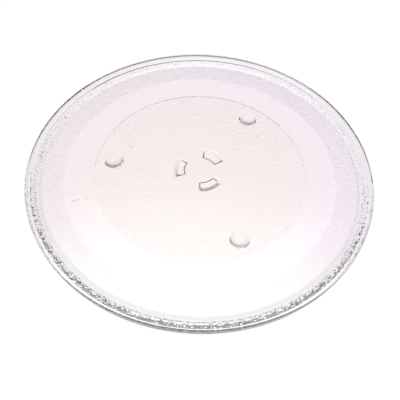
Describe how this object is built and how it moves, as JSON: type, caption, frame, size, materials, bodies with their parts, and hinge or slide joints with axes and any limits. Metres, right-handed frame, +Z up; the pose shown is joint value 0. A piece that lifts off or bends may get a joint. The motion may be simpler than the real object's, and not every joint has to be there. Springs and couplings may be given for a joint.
{
  "type": "microwave turntable plate",
  "caption": "Round shallow dish of clear pressed glass for a microwave oven, with a smooth roller track, three domed feet and three drive lugs on its underside.",
  "frame": {"origin": "on the axis that the plate turns on, in the plane under its three feet", "axes": "+Z up along the turning axis; one foot and one lug point along -X"},
  "size_m": [0.34, 0.34, 0.0146],
  "materials": {
    "glass": "clear polished glass, finely stippled on the underside of the middle disc and of the outer band and wall"
  },
  "bodies": {
    "root": {"turntable_plate": "glass"}
  },
  "joints": []
}
